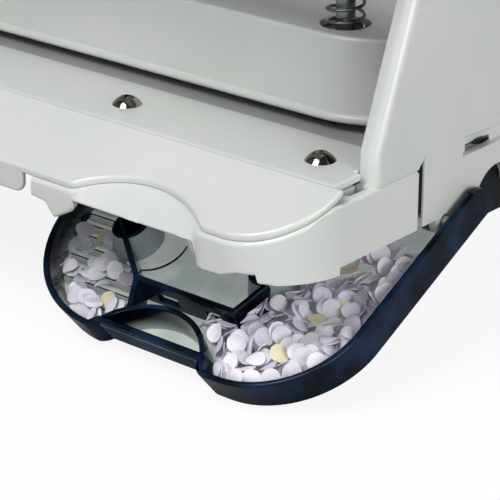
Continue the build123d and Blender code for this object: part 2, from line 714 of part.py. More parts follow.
def make_head_cover():
    """Painted cover over the guide bar, with a rolled bead along its lower edge."""
    low, top = head_low_z + bead_r, head_top_z + fit_gap
    cover = extrude(Pos(0, 0, low) * head_plan(0, head_back_y), amount=top + head_wall - low)
    rim = [e for e in cover.edges()
           if e.center().Z > top + head_wall - 0.1 and e.center().Y < head_back_y - 1]
    cover = fillet(rim, head_round)
    cover -= extrude(Pos(0, 0, low - 1) * head_plan(head_wall, head_back_y + 5), amount=top - low + 1)
    cover -= box(-inner_half, inner_half, tongue_y[0] - fit_gap, tongue_y[1] + fit_gap,
                 head_top_z - tongue_height - fit_gap, top)
    for x in hole_x:
        cover -= rod_z(spring_hole_r, x, punch_y, top - 1, top + 3)
    x, y, r = head_half, head_front_y + bead_r, head_corner_r
    path = Pos(0, 0, low) * Wire([
        ThreePointArc((-x, y + r), polar((-x + r, y + r), r, 225), (-x + r, y)),
        Line((-x + r, y), (x - r, y)),
        ThreePointArc((x - r, y), polar((x - r, y + r), r, -45), (x, y + r)),
    ])
    start = Plane(origin=(-x, y + r, low), z_dir=(0, -1, 0))
    return cover + sweep(start * RegularPolygon(bead_r, bead_sides), path=path)


def make_rail():
    """Side-stop rail that slides out to the right under the die bed."""
    end_x = inner_half + frame_thick + rail_proud
    rail = box(inner_half - rail_length, end_x, rail_y[0], rail_y[1],
               rail_low_z, rail_low_z + rail_thick)
    mark_x = inner_half - 20
    while mark_x > inner_half - rail_travel:
        rail -= box(mark_x, mark_x + rail_mark_width, rail_y[0] + 2, rail_y[1] - 2,
                    rail_low_z + rail_thick - rail_mark_depth, rail_low_z + rail_thick + 1)
        mark_x -= rail_mark_pitch
    return rail


def make_rail_pull():
    """Lens-shaped pull on the end of the side-stop rail, in the recess of the right cheek."""
    x0 = inner_half + frame_thick + rail_proud
    front, back = rail_y[0] + 0.3, rail_y[1] - 0.7
    middle, z = (front + back) / 2, rail_low_z + pull_half
    face = side_face(
        ThreePointArc((front, z), (middle, z + pull_half), (back, z)),
        ThreePointArc((back, z), (middle, z - pull_half), (front, z)),
    )
    return along_x(face, x0, outer_half - fit_gap)


def make_rail_guide(x):
    """Saddle under the die bed that the rail slides in."""
    y0, y1 = rail_y[0] - 0.1, rail_y[1] + 0.1
    half, wall = rail_guide_width / 2, rail_guide_wall
    block = box(x - half, x + half, y0 - wall, y1 + wall, rail_low_z - wall - 0.1, bed_low_z)
    return block - box(x - half - 1, x + half + 1, y0, y1, rail_low_z - 0.1, rail_low_z + rail_thick + 0.1)


def make_beam():
    """Channel that presses the four punches down together."""
    y0, y1 = punch_y - beam_depth / 2, punch_y + beam_depth / 2
    beam = box(-beam_half, beam_half, y0, y1, beam_low_z, beam_top_z)
    top = [e for e in beam.edges().filter_by(Axis.X) if e.center().Z > beam_top_z - 0.1]
    beam = fillet(top, 1.6)
    return beam - box(-beam_half - 1, beam_half + 1, y0 + beam_wall, y1 - beam_wall,
                      beam_low_z - 1, beam_top_z - beam_wall)


def make_punch(x):
    """One punch: a hardened pin with a notched cutting end and a head in the beam."""
    tip = head_low_z + punch_lift
    top = beam_top_z - beam_wall
    pin = rod_z(punch_r, x, punch_y, tip, top)
    head = rod_z(punch_head_r, x, punch_y, top - punch_head_h, top)
    notch = Pos(x, punch_y, tip) * Rot(0, 45, 0) * Box(punch_notch, 4 * punch_r, punch_notch)
    return pin + head - notch


def make_washer(x):
    """Washer between the beam and the top of a punch spring."""
    disc = rod_z(washer_r, x, punch_y, beam_low_z - washer_thick, beam_low_z)
    return disc - rod_z(punch_r + 0.05, x, punch_y, beam_low_z - washer_thick - 1, beam_low_z + 1)


def biarc(p0, t0, p1, t1):
    """Two arcs that run smoothly from p0 to p1 with these directions at the ends."""
    v, t = p1 - p0, t0 + t1
    k = 2 * (1 - t0.dot(t1))
    d = (-v.dot(t) + sqrt(v.dot(t) ** 2 + k * v.dot(v))) / k
    joint = (p0 + t0 * d + p1 - t1 * d) / 2
    first = Edge.make_tangent_arc(p0, t0, joint)
    second = Edge.make_tangent_arc(joint, first % 1, p1)
    return [first, second]


def coil_point(x, z0, pitch, angle):
    """A point of a spring's centre line and its direction there."""
    c, s = cos(angle), sin(angle)
    point = Vector(x + spring_mean_r * c, punch_y + spring_mean_r * s, z0 + pitch * angle / (2 * pi))
    way = Vector(-spring_mean_r * s, spring_mean_r * c, pitch / (2 * pi)).normalized()
    return point, way


def spring_pitch():
    """Rise of one turn, from the bridge to the washer."""
    room = beam_low_z - washer_thick - head_top_z
    return (room - 2 * spring_wire_r - 0.1) / spring_turns


def make_spring(x):
    """Return spring round a punch: one unbroken wire from the bridge to its washer."""
    z0, pitch = head_top_z + spring_wire_r + 0.05, spring_pitch()
    edges = []
    for i in range(spring_turns * 4):
        p0, t0 = coil_point(x, z0, pitch, i * pi / 2)
        p1, t1 = coil_point(x, z0, pitch, (i + 1) * pi / 2)
        edges += biarc(p0, t0, p1, t1)
    start, way = coil_point(x, z0, pitch, 0.0)
    section = Plane(origin=start, z_dir=way) * RegularPolygon(spring_wire_r, spring_wire_sides)
    return sweep(section, path=Wire(edges), clean=False)


def lever_point(a, n):
    """A point of the lever at rest: a along it from the shaft, n square to it."""
    way, up = radians(180 - hood_rise), radians(90 - hood_rise)
    return (shaft_y + a * cos(way) + n * cos(up), shaft_z + a * sin(way) + n * sin(up))


def make_arm():
    """Right lever arm: hub on the shaft, seat for the press bar and for the handle."""
    under = hood_r - hood_thick
    body = side_poly([lever_point(0, under), lever_point(hood_reach, under),
                      lever_point(handle_reach, under - 1),
                      lever_point(handle_reach, handle_offset - arm_eye_r),
                      lever_point(hood_reach - arm_neck, arm_neck_rise),
                      lever_point(arm_waist, -arm_waist_drop), lever_point(0, -arm_hub_r)])
    arm = along_x(body, arm_inner_x, arm_outer_x)
    hy, hz = lever_point(handle_reach, handle_offset)
    arm += rod_x(arm_hub_r, arm_inner_x, arm_outer_x, shaft_y, shaft_z)
    arm += rod_x(arm_eye_r, arm_inner_x, arm_outer_x, hy, hz)
    arm -= rod_x(shaft_r + bush_wall, arm_inner_x - 1, arm_outer_x + 1, shaft_y, shaft_z)
    arm -= rod_x(press_bar_r + shaft_gap, arm_inner_x - 1, arm_outer_x + 1, press_y, press_z)
    return arm - rod_x(handle_core_r + shaft_gap, arm_inner_x - 1, arm_outer_x + 1, hy, hz)


def make_bush():
    """Right bush between the shaft and its lever arm, with a collar inside."""
    bush = rod_x(shaft_r + bush_wall, arm_inner_x, arm_outer_x, shaft_y, shaft_z)
    bush += rod_x(shaft_r + bush_wall + bush_collar, arm_inner_x - 2.0, arm_inner_x, shaft_y, shaft_z)
    return bush - rod_x(shaft_r + shaft_gap, arm_inner_x - 3, arm_outer_x + 1, shaft_y, shaft_z)


def make_hood():
    """Lever hood: one sheet from behind the shaft to just under the handle."""
    c = (shaft_y, shaft_z)
    r0, r1 = hood_r - hood_thick, hood_r
    rear, top = -hood_back, 90 - hood_rise
    mid = (rear + top) / 2
    out_end, in_end = lever_point(hood_reach, r1), lever_point(hood_reach, r0)
    profile = side_face(
        ThreePointArc(polar(c, r1, rear), polar(c, r1, mid), polar(c, r1, top)),
        Line(polar(c, r1, top), out_end), Line(out_end, in_end), Line(in_end, polar(c, r0, top)),
        ThreePointArc(polar(c, r0, top), polar(c, r0, mid), polar(c, r0, rear)),
        Line(polar(c, r0, rear), polar(c, r1, rear)))
    return along_x(profile, hood_gap - inner_half, inner_half - hood_gap)


def make_rear_cover():
    """Rear panel, bent forward at the top under the hood."""
    y1 = cheek_back_y - 1.5
    panel = box(-room_half, room_half, y1 - cover_thick, y1, skirt_bottom_z + 1, cover_top_z)
    panel += box(-room_half, room_half, head_back_y + 1, y1, cover_top_z - cover_thick, cover_top_z)
    edge = [e for e in panel.edges().filter_by(Axis.X)
            if e.center().Y > y1 - 0.1 and e.center().Z > cover_top_z - 0.1]
    return fillet(edge, 1.4)


def make_rear_foot():
    """Right rear foot: a black block with a rounded front, seen through the cheek's arch."""
    r = foot_arch_r - fit_gap
    inner_x = room_half - foot_width
    front = rod_x(r, inner_x, room_half, foot_arch_y, foot_arch_z)
    front += box(inner_x, room_half, foot_arch_y - r, foot_arch_y, -pad_proud, foot_arch_z)
    front = front & box(inner_x, room_half, foot_arch_y - r, foot_arch_y + r, -pad_proud, foot_height)
    return front + box(inner_x, room_half, foot_arch_y, foot_back_y, -pad_proud, foot_height)


def place_all():
    """Every node's solids, in the drawing frame."""
    punch_nodes = {f"punch_pin_{i + 1}": make_punch(x) for i, x in enumerate(hole_x)}
    springs = {f"punch_spring_{i + 1}": make_spring(x) for i, x in enumerate(hole_x)}
    tray = make_tray()
    pads = make_pads()
    unit, cheek, frame, arm, bush = make_unit(), make_cheek(), make_frame(), make_arm(), make_bush()
    foot, chute = make_rear_foot(), make_chute()
    hy, hz = lever_point(handle_reach, handle_offset)
    ring = rod_x(shaft_r + ring_wall, arm_outer_x + fit_gap, inner_half - fit_gap, shaft_y, shaft_z)
    ring -= rod_x(shaft_r, arm_outer_x, inner_half, shaft_y, shaft_z)
    nodes = {
        "paper_table": make_table(),
        "base_unit_right": unit,
        "base_unit_left": left_of(unit),
        "cheek_cover_right": cheek,
        "cheek_cover_left": left_of(cheek),
        "frame_plate_right": frame,
        "frame_plate_left": left_of(frame),
        "die_bed": make_bed(),
        "die_rings": [make_die(x) for x in hole_x],
        "paper_back_stop": make_back_stop(),
        "guide_bridge": make_bridge(),
        "head_cover": make_head_cover(),
        "rail_guides": [make_rail_guide(x) for x in rail_guide_x],
        "paper_stop_rail": make_rail(),
        "rail_pull": make_rail_pull(),
        "chip_chute_right": chute,
        "chip_chute_left": left_of(chute),
        "table_screws": [dome_screw(x, 0, table_z, screw_length) for x in screw_x],
        "frame_screws": [frame_screw(s, y, z) for s in (-1, 1) for y, z in frame_screw_at],
        "tray_hinge_pins": make_hinge_pins() + [left_of(p) for p in make_hinge_pins()],
        "lever_shaft": rod_x(shaft_r, -inner_half - frame_thick, inner_half + frame_thick, shaft_y, shaft_z),
        "shaft_rings": [ring, left_of(ring)],
        "rear_cover": make_rear_cover(),
        "rear_crossmember": box(-room_half, room_half, foot_arch_y - foot_arch_r - 1,
                                cheek_back_y - member_back_gap, foot_height, foot_height + member_thick),
        "rear_foot_right": foot,
        "rear_foot_left": left_of(foot),
        "punch_beam": make_beam(),
        "spring_washers": [make_washer(x) for x in hole_x],
        **punch_nodes,
        **springs,
        "lever_arm_right": arm,
        "lever_arm_left": left_of(arm),
        "lever_bushes": [bush, left_of(bush)],
        "press_bar": rod_x(press_bar_r, -arm_outer_x, arm_outer_x, press_y, press_z),
        "lever_hood": make_hood(),
        "handle_core": rod_x(handle_core_r, -arm_outer_x, arm_outer_x, hy, hz),
        "handle_grip": rod_x(handle_r, -arm_inner_x, arm_inner_x, hy, hz)
        - rod_x(handle_core_r, -arm_inner_x - 1, arm_inner_x + 1, hy, hz),
        "chip_tray_right": swing(tray),
        "tray_pads_right": [swing(p) for p in pads],
        "chip_tray_left": left_of(tray),
        "tray_pads_left": [left_of(p) for p in pads],
    }
    return nodes


nodes = place_all()
group = {name: Compound(children=part) if isinstance(part, list) else part for name, part in nodes.items()}
whole = Compound(children=[Compound(part.wrapped) for part in group.values()]).bounding_box()
shift = Pos(0, -(whole.min.Y + whole.max.Y) / 2, -whole.min.Z)
for name, part in group.items():
    export_step(shift * part, f"parts/{name}.step")

line = [coil_point(0, 0, spring_pitch(), i * pi / 24)[0] for i in range(spring_turns * 48)]
apart = min((line[i] - q).length for i in range(0, len(line), 6) for q in line[i + 24:])
print("least gap of a spring to itself, mm:", round(apart - 2 * spring_wire_r, 2))
print("shift y, z, mm:", round(shift.position.Y, 4), round(shift.position.Z, 4))
print("size, mm:", [round(v, 2) for v in (whole.size.X, whole.size.Y, whole.size.Z)])
print("shaft y z:", round(shaft_y, 3), shaft_z, " press bar:", round(press_y, 3), round(press_z, 3))
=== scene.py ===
"""A four-hole desk punch with its right chip tray let down and full of paper chips.

The camera stands at the front right corner, a little above the table, and looks down to the left.
"""

import json
import math

import bmesh
import bpy
import numpy as np
from mathutils import Euler, Matrix, Vector

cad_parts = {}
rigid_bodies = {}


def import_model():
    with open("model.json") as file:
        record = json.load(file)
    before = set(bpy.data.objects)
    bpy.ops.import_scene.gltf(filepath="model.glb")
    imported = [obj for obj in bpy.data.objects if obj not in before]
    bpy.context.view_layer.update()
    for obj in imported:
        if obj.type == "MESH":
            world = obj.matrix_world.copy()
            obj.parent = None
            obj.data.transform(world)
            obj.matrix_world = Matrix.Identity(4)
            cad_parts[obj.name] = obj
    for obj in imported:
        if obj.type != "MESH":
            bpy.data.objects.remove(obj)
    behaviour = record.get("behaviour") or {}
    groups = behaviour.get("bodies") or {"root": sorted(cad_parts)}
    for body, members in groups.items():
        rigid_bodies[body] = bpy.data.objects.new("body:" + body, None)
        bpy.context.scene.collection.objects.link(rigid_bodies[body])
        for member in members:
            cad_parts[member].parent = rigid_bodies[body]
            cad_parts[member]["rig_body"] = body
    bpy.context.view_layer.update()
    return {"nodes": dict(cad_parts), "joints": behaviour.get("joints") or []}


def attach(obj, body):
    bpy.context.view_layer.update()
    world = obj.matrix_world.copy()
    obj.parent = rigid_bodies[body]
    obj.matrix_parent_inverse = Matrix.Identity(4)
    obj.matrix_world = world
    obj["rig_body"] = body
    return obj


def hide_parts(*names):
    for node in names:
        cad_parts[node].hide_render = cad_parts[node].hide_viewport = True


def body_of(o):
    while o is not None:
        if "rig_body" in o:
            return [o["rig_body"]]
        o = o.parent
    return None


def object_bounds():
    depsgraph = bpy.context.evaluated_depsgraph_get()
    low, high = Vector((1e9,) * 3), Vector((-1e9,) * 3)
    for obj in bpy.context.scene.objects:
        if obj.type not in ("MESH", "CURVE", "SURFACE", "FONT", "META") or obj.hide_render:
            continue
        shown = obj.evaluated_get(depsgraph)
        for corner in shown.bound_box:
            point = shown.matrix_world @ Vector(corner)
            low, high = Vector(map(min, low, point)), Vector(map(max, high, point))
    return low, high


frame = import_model()
bpy.ops.object.select_all(action="DESELECT")
nodes = frame["nodes"]

MM = 0.001
# The near-black navy of painted shade on the tray's plastics
PAINTED_SHADE_NAVY = "#060E1A"


def srgb(code):
    """A hex colour as the linear numbers that a shader socket takes."""
    parts = [int(code[i:i + 2], 16) / 255 for i in (1, 3, 5)]
    return [c / 12.92 if c <= 0.04045 else ((c + 0.055) / 1.055) ** 2.4 for c in parts] + [1.0]


def add(tree, kind, inputs, **settings):
    """Adds a shader node: a socket in inputs is linked, anything else is set."""
    made = tree.nodes.new(kind)
    for name, value in settings.items():
        setattr(made, name, value)
    for name, value in inputs.items():
        if isinstance(value, bpy.types.NodeSocket):
            tree.links.new(value, made.inputs[name])
        else:
            made.inputs[name].default_value = value
    return made


def new_material(name):
    """An empty node material with its output and the object's own coordinates."""
    made = bpy.data.materials.new(name)
    made.use_nodes = True
    tree = made.node_tree
    tree.nodes.clear()
    out = tree.nodes.new("ShaderNodeOutputMaterial")
    coords = tree.nodes.new("ShaderNodeTexCoord")
    return made, tree, out, coords.outputs["Object"]


def noise(tree, place, scale, detail):
    """A soft noise in the object's own metres."""
    return add(tree, "ShaderNodeTexNoise", {"Vector": place, "Scale": scale, "Detail": detail}).outputs["Fac"]


def two_tones(tree, amount, start, deep, end, hue):
    """A colour that turns from deep to hue as the amount goes from start to end."""
    tint = add(tree, "ShaderNodeValToRGB", {"Fac": amount})
    tint.color_ramp.elements[0].position = start
    tint.color_ramp.elements[0].color = srgb(deep)
    tint.color_ramp.elements[1].position = end
    tint.color_ramp.elements[1].color = srgb(hue)
    return tint.outputs["Color"]


def relief(tree, height, strength, depth):
    """A fine relief of this depth in millimetres."""
    bump = add(tree, "ShaderNodeBump", {"Height": height, "Strength": strength, "Distance": depth * MM})
    return bump.outputs["Normal"]


def edit(piece):
    """Makes a piece the only selected one and opens its mesh."""
    bpy.ops.object.select_all(action="DESELECT")
    piece.select_set(True)
    bpy.context.view_layer.objects.active = piece
    bpy.ops.object.mode_set(mode="EDIT")


def copy_of(node):
    """A CAD piece's shape as one closed mesh with its flat faces joined, in place of the piece."""
    piece = bpy.data.objects.new(node + "_finished", nodes[node].data.copy())
    bpy.context.scene.collection.objects.link(piece)
    edit(piece)
    bpy.ops.mesh.customdata_custom_splitnormals_clear()
    bpy.ops.mesh.select_all(action="SELECT")
    bpy.ops.mesh.remove_doubles(threshold=0.002 * MM)
    bpy.ops.mesh.dissolve_limited(angle_limit=math.radians(0.5))
    bpy.ops.mesh.normals_make_consistent(inside=False)
    bpy.ops.object.mode_set(mode="OBJECT")
    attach(piece, body_of(nodes[node])[0])
    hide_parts(node)
    return piece


def round_edges(piece, radius, chosen, steps=3, sharp=35.0, along=None):
    """Rounds the sharp edges whose two ends, in the piece's own metres, are both chosen.

    The radius is in millimetres. Where a direction is given, only edges that run along it are rounded.
    """
    edit(piece)
    bpy.ops.mesh.select_all(action="DESELECT")
    shape = bmesh.from_edit_mesh(piece.data)
    for line in shape.edges:
        turned = len(line.link_faces) == 2 and line.calc_face_angle() > math.radians(sharp)
        run = (line.verts[1].co - line.verts[0].co).normalized()
        lies = along is None or abs(run.dot(along)) > 0.9
        line.select_set(turned and lies and all(chosen(corner.co) for corner in line.verts))
    bmesh.update_edit_mesh(piece.data)
    bpy.ops.mesh.bevel(offset=radius * MM, segments=steps, clamp_overlap=False, profile=0.5)
    bpy.ops.object.mode_set(mode="OBJECT")


def cut_out(piece, cutter):
    """Cuts the shape of the cutter out of a piece and removes the cutter."""
    cut = piece.modifiers.new("cut", "BOOLEAN")
    cut.operation = "DIFFERENCE"
    cut.solver = "EXACT"
    cut.object = cutter
    bpy.context.view_layer.objects.active = piece
    bpy.ops.object.modifier_apply(modifier=cut.name)
    bpy.data.objects.remove(cutter)


def smooth(piece, angle=40.0):
    """Smooth shading, broken where the surface turns sharply, that keeps flat faces flat."""
    bpy.ops.object.select_all(action="DESELECT")
    piece.select_set(True)
    bpy.context.view_layer.objects.active = piece
    bpy.ops.object.shade_smooth_by_angle(angle=math.radians(angle))
    even = piece.modifiers.new("even", "WEIGHTED_NORMAL")
    even.keep_sharp = True
    bpy.ops.object.modifier_apply(modifier=even.name)


def powder_coated_steel(name, hue, deep):
    """Powder coat baked on sheet steel: satin, with a fine orange peel about 0.8 mm across.

    Broad clouds in its tone keep large faces from looking flat.
    """
    made, tree, out, place = new_material(name)
    peel = noise(tree, place, 1 / (0.8 * MM), 1.0)
    shade = add(tree, "ShaderNodeBsdfPrincipled", {
        "Base Color": two_tones(tree, noise(tree, place, 18.0, 3.0), 0.35, deep, 0.65, hue),
        "Roughness": 0.30, "IOR": 1.5, "Coat Weight": 0.4, "Coat Roughness": 0.15,
        "Normal": relief(tree, peel, 0.05, 0.1)})
    tree.links.new(shade.outputs["BSDF"], out.inputs["Surface"])
    return made


def moulded_abs(name, hue, deep, roughness, shine=0.5):
    """Injection-moulded ABS: smooth and slightly soft in its gloss, with a spark-eroded grain of 0.3 mm."""
    made, tree, out, place = new_material(name)
    grain = noise(tree, place, 1 / (0.3 * MM), 2.0)
    shade = add(tree, "ShaderNodeBsdfPrincipled", {
        "Base Color": two_tones(tree, noise(tree, place, 22.0, 2.0), 0.3, deep, 0.7, hue),
        "Roughness": roughness, "IOR": 1.54, "Specular IOR Level": shine,
        "Normal": relief(tree, grain, 0.06, 0.05)})
    tree.links.new(shade.outputs["BSDF"], out.inputs["Surface"])
    return made


def ground_steel(name, hue, deep, roughness, along):
    """Cold-rolled steel with fine rolling lines, 0.4 mm apart, along one axis."""
    made, tree, out, place = new_material(name)
    stretch = [1 / (0.4 * MM)] * 3
    stretch["XYZ".index(along)] = 1 / (30 * MM)
    lay = add(tree, "ShaderNodeMapping", {"Vector": place, "Scale": stretch})
    lines = noise(tree, lay.outputs["Vector"], 1.0, 3.0)
    shade = add(tree, "ShaderNodeBsdfPrincipled", {
        "Base Color": two_tones(tree, lines, 0.3, deep, 0.7, hue),
        "Metallic": 1.0, "Roughness": roughness, "Normal": relief(tree, lines, 0.12, 0.03)})
    tree.links.new(shade.outputs["BSDF"], out.inputs["Surface"])
    return made


def nickel_plate(name):
    """Bright nickel plate on the screw heads: a mirror with faint smears from fingers."""
    made, tree, out, place = new_material(name)
    smear = noise(tree, place, 1 / (3 * MM), 3.0)
    gloss = add(tree, "ShaderNodeMapRange", {"Value": smear, "To Min": 0.07, "To Max": 0.18})
    shade = add(tree, "ShaderNodeBsdfPrincipled", {
        "Base Color": srgb("#A39D97"), "Metallic": 1.0, "Roughness": gloss.outputs["Result"]})
    tree.links.new(shade.outputs["BSDF"], out.inputs["Surface"])
    return made


def smoked_styrene(name, hue, deep, clear, gloss, shade_of=None, shine=0.22):
    """Smoked polystyrene from a polished mould: clouds in its tint 12 mm across, which on the navy walls are
    partly painted reflection, sink marks in its gloss.

    shade_of(tree, place) gives a number from 0 to 1: there painted shade turns the plastic nearly black.
    """
    made, tree, out, place = new_material(name)
    colour = two_tones(tree, noise(tree, place, 1 / (12 * MM), 3.0), 0.38, deep, 0.68, hue)
    if shade_of:
        painted_shade = add(tree, "ShaderNodeMix", {0: shade_of(tree, place), 6: colour, 7: srgb(PAINTED_SHADE_NAVY)},
                    data_type="RGBA")
        colour = painted_shade.outputs[2]
    rub = noise(tree, place, 1 / (4 * MM), 4.0)
    rough = add(tree, "ShaderNodeMapRange", {"Value": rub, "From Min": 0.3, "From Max": 0.75,
                                             "To Min": gloss, "To Max": gloss + 0.12})
    shade = add(tree, "ShaderNodeBsdfPrincipled", {
        "Base Color": colour, "Roughness": rough.outputs["Result"], "IOR": 1.57,
        "Specular IOR Level": shine, "Transmission Weight": clear, "Normal": relief(tree, rub, 0.08, 0.2)})
    tree.links.new(shade.outputs["BSDF"], out.inputs["Surface"])
    return made


def office_paper(name, hue, deep):
    """Copier paper: matt, with its fibres a third of a millimetre long as a faint mottle and relief."""
    made, tree, out, place = new_material(name)
    fibre = noise(tree, place, 1 / (0.35 * MM), 4.0)
    shade = add(tree, "ShaderNodeBsdfPrincipled", {
        "Base Color": two_tones(tree, fibre, 0.3, deep, 0.65, hue), "Roughness": 0.78,
        "Normal": relief(tree, fibre, 0.2, 0.03)})
    tree.links.new(shade.outputs["BSDF"], out.inputs["Surface"])
    return made


paint = powder_coated_steel("light_grey_powder_coat", "#D9DBD8", "#D2D5D1")
bed_paint = powder_coated_steel("grey_powder_coat", "#B3B6B4", "#A9ACAA")
# Black electro-coat on the frame plates; its darkness also serves as painted shade seen through the cheek
# slots
black_coat = powder_coated_steel("black_electro_coat", "#232528", "#1B1D1F")
unit_abs = moulded_abs("light_grey_abs", "#DADCD9", "#D4D7D3", 0.2)
black_abs = moulded_abs("black_abs", "#0D1016", "#07090D", 0.35, 0.2)
guide_nylon = moulded_abs("dark_grey_nylon", "#4B4D50", "#414346", 0.5)
grip_rubber = moulded_abs("navy_soft_rubber", "#1D2A42", "#172238", 0.62)
pad_rubber = moulded_abs("black_rubber", "#1A1A1B", "#131314", 0.75)
rolled_steel = ground_steel("rolled_steel", "#B9BBBC", "#A2A4A6", 0.32, "X")
spring_steel = ground_steel("spring_steel", "#A6A8AB", "#8B8D90", 0.25, "Z")
nickel = nickel_plate("bright_nickel")
# The navy's lighter clouds are partly painted reflection: mottled glints on the polished walls
navy = smoked_styrene("smoked_navy_styrene", "#182C47", "#040A14", 0.0, 0.10, None, 0.14)
papers = [office_paper("white_paper", "#FAF8FF", "#EAE7F4"), office_paper("grey_paper", "#E2DFEC", "#CBC8DA"),
          office_paper("cream_paper", "#F1E9C9", "#E2D8B4")]

finish = {
    "paper_table": paint, "cheek_cover_right": paint, "cheek_cover_left": paint, "head_cover": paint,
    "lever_hood": paint, "lever_arm_right": paint, "lever_arm_left": paint, "rear_cover": paint,
    "base_unit_right": unit_abs, "base_unit_left": unit_abs,
    "chip_tray_right": navy, "chip_tray_left": navy, "table_screws": nickel, "frame_screws": nickel,
    "rear_foot_right": black_abs, "rear_foot_left": black_abs, "rail_pull": black_abs,
    "chip_chute_right": black_abs, "chip_chute_left": black_abs, "tray_pads_right": pad_rubber,
    "tray_pads_left": pad_rubber, "handle_grip": grip_rubber, "rail_guides": guide_nylon,
    "lever_bushes": guide_nylon, "die_bed": bed_paint, "frame_plate_right": black_coat,
    "frame_plate_left": black_coat,
}
for name, part in nodes.items():
    made = finish.get(name, spring_steel if name.startswith("punch_spring") else rolled_steel)
    part.data.materials.clear()
    part.data.materials.append(made)

# Places in the trays, in millimetres: across from the tray's middle, back and up as in the drawing
TRAY_MIDDLE = 102.0                 # from the machine's middle
HINGE_BACK, HINGE_UP = 32.3, 7.6
TRAY_FLOOR, TRAY_RIM = 1.6, 10.8
TRAY_TAPER = 2.6                    # the front wall leans in by this much towards the floor
PARTITION_BACK, PARTITION_ENDS = -19.2, (-19.2, 17.3)
INNER_WALL_TOP = (10.0, 10.3)       # the top of the low inner walls lies between these
INNER_SIDE = -53.5                  # the wall with the catch's nub is beyond this
NUB_BACK, NUB_UP, NUB_R = -1.6, 3.1, 1.6
CUPS, CUP_BACK, CUP_TOP_R, CUP_FOOT_R = (-35.0, 17.3), -3.0, 5.6, 8.4
GRIP_HALF, GRIP_BACK = 19.0, -37.7
LOBE_CORNER = 21.0                  # corners beside the grip, where the lobes begin
POCKET_DEPTH = 11.0                 # of the finger pocket behind the grip
POCKET_R = (GRIP_HALF ** 2 + POCKET_DEPTH ** 2) / (2 * POCKET_DEPTH)
POCKET_MIDDLE = GRIP_BACK + POCKET_DEPTH - POCKET_R
FLOOR_RIBS, RIB_PITCH, RIB_WIDTH, RIB_HEIGHT = -22.0, 3.9, 1.6, 0.8
RIB_END, RIB_SLANT = -42.5, 1.15    # the line on which the floor ribs end
PADS, PAD_RECESS_R = (Vector((-26.0, -30.0)), Vector((30.0, -30.0))), 5.6
ARMS_BACK = 36.0                    # behind this the bottom is that of the hinge arms

# Where the drawing of a tray lies in the scene
swing_joint = next(j for j in frame["joints"] if j["child"] == "tray_right")
hinge = Vector(swing_joint["pos_m"])
swing = math.radians(-swing_joint["range_deg"][0])
let_down = Matrix.Translation(hinge) @ Matrix.Rotation(swing, 4, "X") @ Matrix.Translation(-hinge)
drawing = Matrix.Translation((TRAY_MIDDLE * MM, hinge.y - HINGE_BACK * MM, hinge.z - HINGE_UP * MM))
tray_place = let_down @ drawing
from_right_tray = tray_place.inverted()
from_left_tray = drawing.inverted() @ Matrix.Scale(-1, 4, (1, 0, 0))

# A tray's plastics, in the order in which finish_tray gives them to it
WALL, CLEAR_FLOOR, POCKET, CUP, RIB_HIGHLIGHT = range(5)


def tray_styrenes(side, to_drawing):
    """Paler copies of a tray's smoked plastic, partly clear and partly painted light where light shows
    through thin plastic: its floor, its pocket, its cups, and its grip's ribs, which carry a painted
    highlight.
    """
    spot, turn, size = to_drawing.decompose()

    def in_tray(tree, place):
        """The place in the tray's drawing, in metres."""
        laid = add(tree, "ShaderNodeMapping", {"Vector": place, "Location": spot, "Rotation": turn.to_euler(),
                                               "Scale": size})
        return laid.outputs["Vector"]

    def by_height(low, high):
        """Painted shade: the plastic is darkened from low to high, in millimetres, up the walls."""
        def shade_of(tree, place):
            """How much painted shade darkens the plastic at this place, from 0 to 1."""
            up = add(tree, "ShaderNodeSeparateXYZ", {"Vector": in_tray(tree, place)})
            painted_shade = add(tree, "ShaderNodeMapRange", {"Value": up.outputs["Z"], "From Min": low * MM,
                                                     "From Max": high * MM}, interpolation_type="SMOOTHSTEP")
            return painted_shade.outputs["Result"]
        return shade_of

    def on_floor(tree, place):
        """Painted shade: the floor is darkened between the ribs, and the walls are darkened upwards."""
        at = add(tree, "ShaderNodeSeparateXYZ", {"Vector": in_tray(tree, place)})

        def reckon(operation, *terms):
            """One step of arithmetic on sockets and numbers."""
            made = add(tree, "ShaderNodeMath", dict(enumerate(terms)), operation=operation)
            return made.outputs[0]

        ahead = reckon("MAXIMUM", reckon("SUBTRACT", CUP_BACK * MM, at.outputs["Y"]), 0.0)
        ends = reckon("MULTIPLY_ADD", ahead, RIB_SLANT, RIB_END * MM)
        among = reckon("LESS_THAN", at.outputs["X"], ends)
        back = reckon("ADD", at.outputs["Y"], (RIB_PITCH - FLOOR_RIBS) * MM)
        gap = reckon("GREATER_THAN", reckon("MODULO", back, RIB_PITCH * MM), RIB_WIDTH * MM)
        # Painted shade in the valleys between the floor ribs
        painted_rib_shade = reckon("MULTIPLY", reckon("MULTIPLY", among, gap), 0.5)
        return reckon("MAXIMUM", painted_rib_shade, by_height(2.0, 7.0)(tree, place))

    # Painted shade on the pocket's wall, darker towards its top
    darker_up = by_height(1.8, 6.2)
    # The floor, pocket and cups are paler copies of the smoked plastic: painted light where light shows
    # through thin plastic, besides the floor's and pocket's own clearness. The pocket is painted lighter
    # still, and the tops of the floor ribs share its plastic.
    return [smoked_styrene("smoked_styrene_floor_" + side, "#E4EBE8", "#C2CECD", 0.65, 0.16, on_floor),
            smoked_styrene("smoked_styrene_pocket_" + side, "#E6F0E8", "#D5E2D9", 0.5, 0.14, darker_up),
            smoked_styrene("smoked_styrene_cup_" + side, "#AEB9BB", "#9FACB0", 0.0, 0.2),
            # The grip's ribs: a lighter blue on their upper faces, a painted highlight
            smoked_styrene("smoked_styrene_rib_highlight_" + side, "#63788B", "#3F5266", 0.0, 0.25)]


def in_grip(spot):
    """True on the ribbed front of the grip."""
    return abs(spot.x) < GRIP_HALF + 0.6 and spot.y < GRIP_BACK + 2.5


